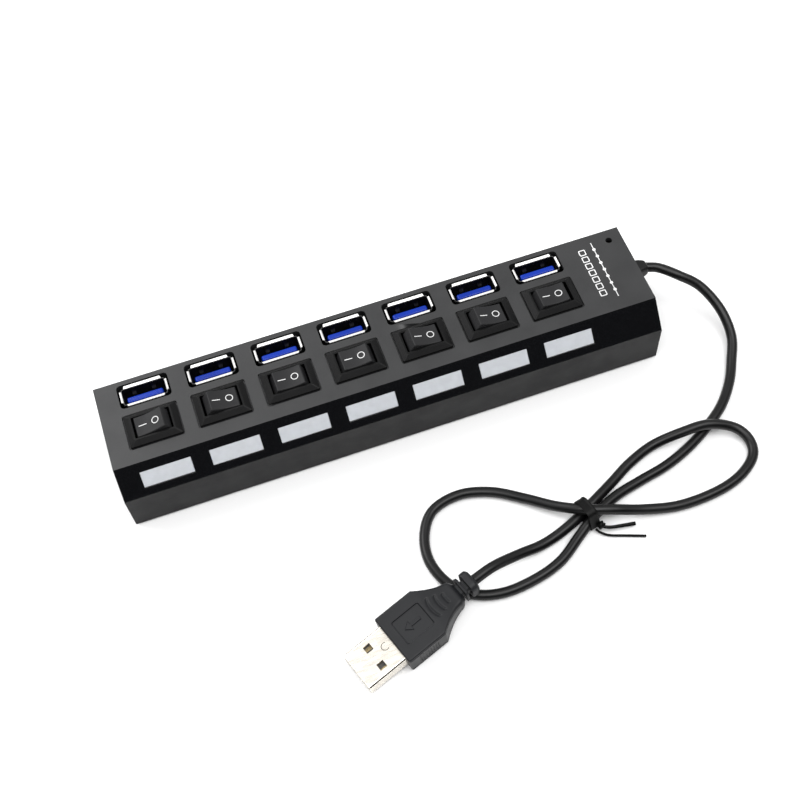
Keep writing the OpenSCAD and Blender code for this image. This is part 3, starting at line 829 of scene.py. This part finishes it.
def add_plug_shell():
    """The plug's metal tube: four windows, a seam in its floor, the latch's outline, two corner grooves
    with dark strips of painted shade sunk in them.
    """
    front, back = -12.3, 5
    def ring(x, shrink):
        return [(x, y, z) for y, z in rounded_outline(12 - shrink, 4.5 - shrink, 0.8 - shrink / 2)]
    def bore(x, shrink):
        return [(x, y, z) for y, z in rounded_outline(11.4 - shrink, 3.9 - shrink, 0.5 - shrink / 2)]
    tube = loft([ring(front, 0.2), ring(front + 0.35, 0), ring(back, 0),
                 bore(back, 0), bore(front + 0.35, 0), bore(front, 0.2)], closed=True)
    holes = []
    for y in (-3, 3):
        for z in (-2.2, 2.2):
            holes.append(block((-6.95, y - 1.05, z - 0.5), (-4.85, y + 1.05, z + 0.5)))
    holes.append(block((front - 1, -0.06, -2.6), (back + 1, 0.06, -1.6)))
    latch = []
    for k in range(15):
        a = radians(55 + 250 * k / 14)
        c, s = cos(a), sin(a)
        latch.append([(-2.1 + 1 * c, 0.5 + 1 * s, 1.7), (-2.1 + 1.15 * c, 0.5 + 1.15 * s, 1.7),
                      (-2.1 + 1.15 * c, 0.5 + 1.15 * s, 2.6), (-2.1 + 1 * c, 0.5 + 1 * s, 2.6)])
    holes.append(loft(latch))
    # Dark strips sunk in the two corner grooves: painted shade along the shell's upper long edges
    groove_shade_strips = []
    for y, turn in ((5.2, 45), (-5.2, 135)):
        corner = at(0, y, 1.45) @ Matrix.Rotation(radians(turn), 4, "X")
        holes.append(moved(block((front - 1, 0.55, -0.22), (-0.1, 1, 0.22)), corner))
        groove_shade_strips.append(moved(block((front + 0.4, 0.52, -0.28), (0, 0.64, 0.28)), PLUG @ corner))
    add_piece("plug_groove_shade", groove_shade_strips, "nickel_painted_shade", 0.03)
    piece = add_piece(
        "plug_sheet", [tube], "plug_nickel", 0.06, nodes=["plug_shell"], segments=2, holes=holes)
    piece.data.transform(Matrix.Scale(1 / MM, 4))
    piece.data.transform(PLUG)
    piece.data.transform(Matrix.Scale(MM, 4))
    return piece


# ---------------------------------------------------------------------------------------------
# Twist tie, in its own frame: X along the tied strands, Z up
# ---------------------------------------------------------------------------------------------

TIE = at(41, -59.8, 0.05) @ Matrix.Rotation(radians(27.5), 4, "Z")
# The band lies a little askew of its twisted ends
BAND = at(40.3, -60, 0.05) @ Matrix.Rotation(radians(14), 4, "Z")


def runs_through_tie():
    """The parts of the lead's line near the tie, in the band's frame."""
    to_tie = BAND.inverted()
    runs, run = [], []
    for p in [to_tie @ (q / MM) for q in spline(ROUTE)]:
        if abs(p.x) < 3 and abs(p.y) < 8:
            run.append(p)
        elif run:
            runs.append(run)
            run = []
    return runs


def outermost(runs, stations, away):
    """The point of the tied runs that lies furthest in a direction across the tie, at any station."""
    best = None
    for run, x in [(run, x) for run in runs for x in stations]:
        a, b = next((a, b) for a, b in zip(run, run[1:]) if (a.x - x) * (b.x - x) <= 0)
        ahead = (b - a).normalized()
        lean = Vector((0, ahead.y, ahead.z)) * (away.dot(ahead) / ahead.x ** 2)
        bulge = away + lean
        point = a.lerp(b, (x - a.x) / (b.x - a.x)) + CORD_R * bulge / sqrt(bulge.dot(away))
        if best is None or point.dot(away) > best.dot(away):
            best = point
    return best


def strip_section(width, turn):
    """Outline of a flat strip with a wire in its middle, turned by an angle in degrees."""
    across = [width * (0.5 - k / 10) for k in range(11)]
    top = [(x, 0.14 + 0.12 * exp(-(x / 0.17) ** 2)) for x in across]
    c, s = cos(radians(turn)), sin(radians(turn))
    return [(x * c - y * s, x * s + y * c) for x, y in top + [(-x, -y) for x, y in top]]


def twisted_pair(t):
    """Outline of the two strips twisted round each other, at 0 to 1 along the knot."""
    outline = []
    for k in range(28):
        a = 2 * pi * k / 28
        radius = 1.15 * (1 - 0.7 * (2 * t - 1) ** 6) * (1 + 0.12 * cos(2 * a))
        outline.append((radius * cos(a + 4 * t), radius * sin(a + 4 * t)))
    return outline


def add_tie():
    """A flat band drawn tight round the strands, twisted together beside them, with two loose ends."""
    runs = runs_through_tie()
    rings = []
    stations = [3 * (n / 14 - 0.5) for n in range(15)]
    for k in range(72):
        a = 2 * pi * k / 72
        away = Vector((0, cos(a), sin(a)))
        under = outermost(runs, stations, away) + 0.03 * away
        outer, inner = [], []
        for x in stations:
            ridge = 0.16 * exp(-((x - 1.1) / 0.2) ** 2)
            outer.append((x, *(under + (0.36 + ridge) * away).yz))
            inner.append((x, *under.yz))
        rings.append(outer + inner[::-1])
    band = loft(rings, closed=True)
    knot = sweep([Vector((-0.4, -3.6 - 0.12 * k, 2.7 - 0.03 * k)) for k in range(16)], twisted_pair)
    flat_end = sweep(spline([(-0.4, -5, 2.2), (1.1, -6.8, 2.05), (3.7, -8.7, 1.7), (7, -10.9, 1.15)], 8),
                     lambda t: strip_section(0.9 + 0.2 * t, 35 - 10 * t))
    thin_end = sweep(spline([(-1.9, -3.9, 1.4), (-1.7, -5.5, 1.1), (-0.6, -7.8, 0.85), (2.3, -11, 0.65),
                             (6.2, -15.4, 0.6)], 8), lambda t: strip_section(0.8, 80 - 25 * t))
    shapes = [moved(band, BAND)] + [moved(s, TIE) for s in (knot, flat_end, thin_end)]
    return add_piece("tie_band", shapes, "tie_black", 0.06, nodes=["twist_tie"], segments=2, angle=50)


# ---------------------------------------------------------------------------------------------
# The whole scene
# ---------------------------------------------------------------------------------------------

add_camera()
lead = add_cord()
add_world()
add_floor()
add_area_light("key", (-0.6, 0.7, 0.9), (0, 0, 0), (0.9, 0.8), 9)
add_area_light("front_top", (0.1, -0.35, 1.1), (0, -0.03, 0), (1.3, 0.6), 12)

for name, node in frame["nodes"].items():
    node.data.materials.clear()
    node.data.materials.append(MATERIALS[SLOT_OF[name]])

add_housing()
add_print()
for i in STATIONS:
    add_socket(i)
    add_switch(i)
on_lead = [add_strain_relief(), add_plug_moulding(), add_plug_neck(), add_plug_shell(), add_tie()]
on_lead += [finish_node("plug_insulator", 0.1), frame["nodes"]["plug_contacts"]]

bpy.context.scene.view_settings.view_transform = "Standard"
